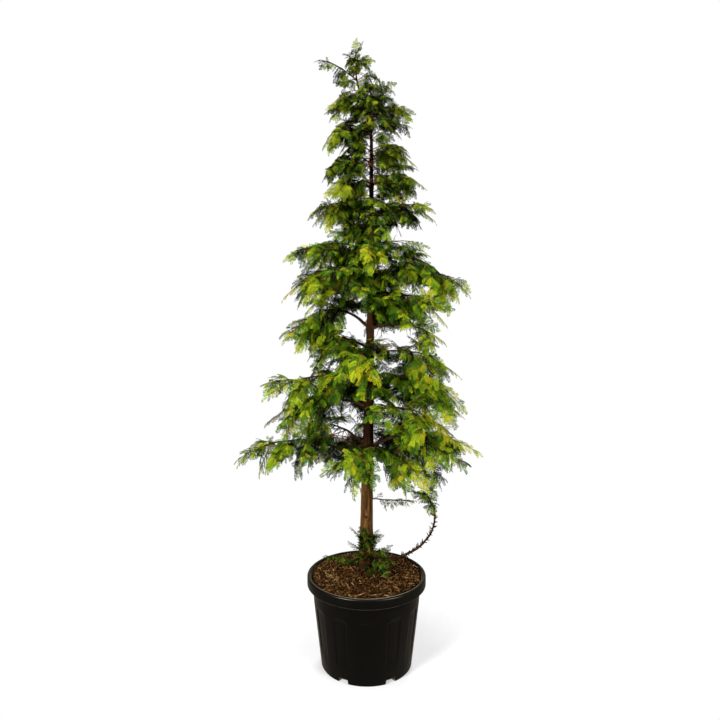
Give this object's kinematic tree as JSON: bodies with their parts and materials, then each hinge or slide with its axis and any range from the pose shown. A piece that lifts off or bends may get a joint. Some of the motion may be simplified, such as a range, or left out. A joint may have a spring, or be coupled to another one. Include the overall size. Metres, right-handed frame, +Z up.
{
  "type": "potted dawn redwood sapling",
  "caption": "Young dawn redwood with a slim tapering trunk, tiers of drooping boughs and feathery needle sprays, growing in a rolled-lip black nursery pot.",
  "frame": {"origin": "centre of the pot's flat underside", "axes": "+Z up along the trunk, +X to the tree's right and -Y towards the viewer as seen from the front"},
  "size_m": [0.9795, 0.7478, 2.5373],
  "materials": {
    "pot": "black moulded plastic with a soft sheen",
    "soil": "coarse chipped bark and fibre",
    "bark": "brown fibrous bark in long strips",
    "foliage": "soft flat needles, yellow-green at the tips and darker inside"
  },
  "bodies": {
    "root": {"bough_1_back_right": "bark", "bough_1_front_left": "bark", "bough_1_front_right": "bark", "bough_1_left": "bark", "bough_1_right": "bark", "bough_2_front_right": "bark", "bough_2_left": "bark", "bough_2_right": "bark", "bough_3_front": "bark", "bough_3_left": "bark", "bough_3_right": "bark", "bough_4_front_right": "bark", "bough_4_left": "bark", "bough_5_left": "bark", "bough_5_right": "bark", "bough_foot_shoot_lower": "bark", "bough_foot_shoot_upper": "bark", "foliage_10_left": "foliage", "foliage_10_right": "foliage", "foliage_11_left": "foliage", "foliage_11_right": "foliage", "foliage_1_back_left": "foliage", "foliage_1_back_right": "foliage", "foliage_1_front_left": "foliage", "foliage_1_front_right": "foliage", "foliage_1_left": "foliage", "foliage_1_right": "foliage", "foliage_2_back": "foliage", "foliage_2_front_right": "foliage", "foliage_2_left": "foliage", "foliage_2_right": "foliage", "foliage_3_back": "foliage", "foliage_3_front": "foliage", "foliage_3_left": "foliage", "foliage_3_right": "foliage", "foliage_4_back": "foliage", "foliage_4_front_right": "foliage", "foliage_4_left": "foliage", "foliage_4_right": "foliage", "foliage_5_back": "foliage", "foliage_5_left": "foliage", "foliage_5_right": "foliage", "foliage_6_front": "foliage", "foliage_6_left": "foliage", "foliage_7_back": "foliage", "foliage_7_left": "foliage", "foliage_7_right": "foliage", "foliage_8_front_left": "foliage", "foliage_8_right": "foliage", "foliage_9_back": "foliage", "foliage_9_left": "foliage", "foliage_9_right": "foliage", "foliage_9_upper_left": "foliage", "foliage_foot": "foliage", "foliage_foot_shoot": "foliage", "foliage_leader": "foliage", "foliage_low_twig": "foliage", "pot": "pot", "soil": "soil", "trunk": "bark"}
  },
  "joints": []
}
